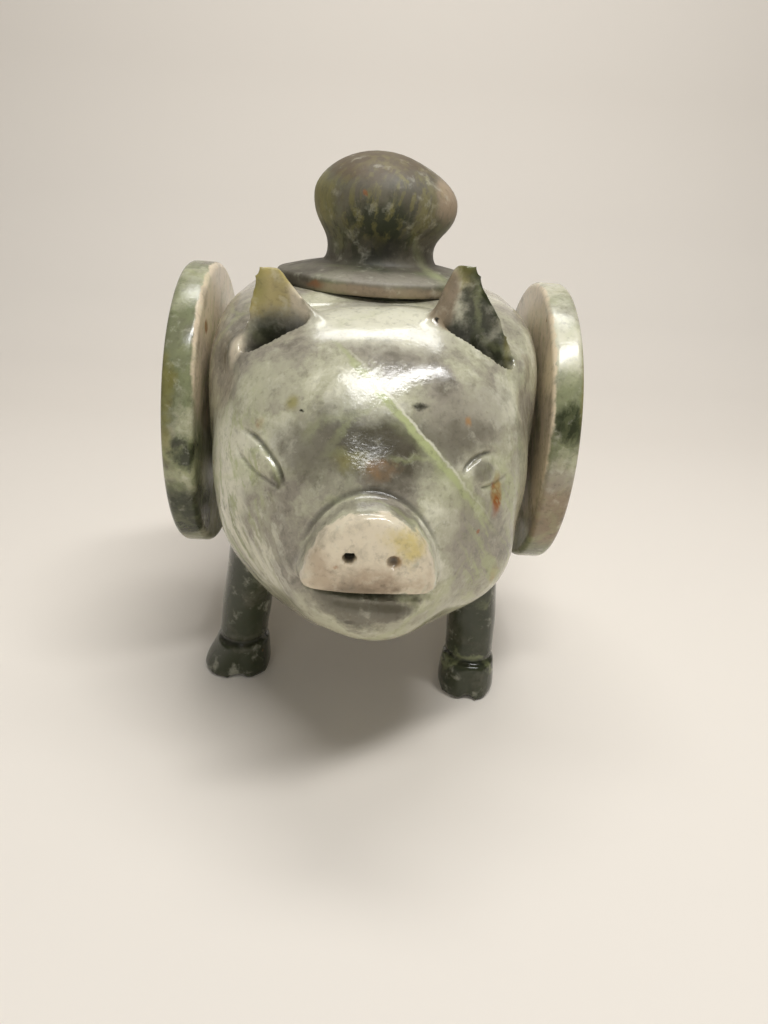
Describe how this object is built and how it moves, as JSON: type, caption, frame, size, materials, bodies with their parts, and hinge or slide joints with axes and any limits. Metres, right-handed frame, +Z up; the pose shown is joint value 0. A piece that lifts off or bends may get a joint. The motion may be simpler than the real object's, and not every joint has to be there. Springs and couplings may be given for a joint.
{
  "type": "pig figurine",
  "caption": "Carved, polished stone pig on cloven feet, with a knobbed lid over a well in its back and a plain round disc turning at each flank.",
  "frame": {"origin": "centre of the footprint, on the plane of the soles", "axes": "+Z up, the pig faces -Y, +X towards the pig's left side"},
  "size_m": [0.0652, 0.094, 0.0899],
  "materials": {
    "figure_stone": "polished",
    "lid_stone": "polished",
    "disc_stone": "polished",
    "axle_brass": "satin"
  },
  "bodies": {
    "figure": {"body": "figure_stone"},
    "lid": {"lid": "lid_stone"},
    "disc_pair": {"axle": "axle_brass", "left_disc": "disc_stone", "right_disc": "disc_stone"}
  },
  "joints": [
    {"name": "lid_lift", "type": "slide", "parent": "figure", "child": "lid", "axis": [0, 0, 1], "range_m": [0, 0.03]},
    {"name": "disc_turn", "type": "hinge", "parent": "figure", "child": "disc_pair", "pos_m": [0, 0.005, 0.0458], "axis": [1, 0, 0], "continuous": true}
  ]
}
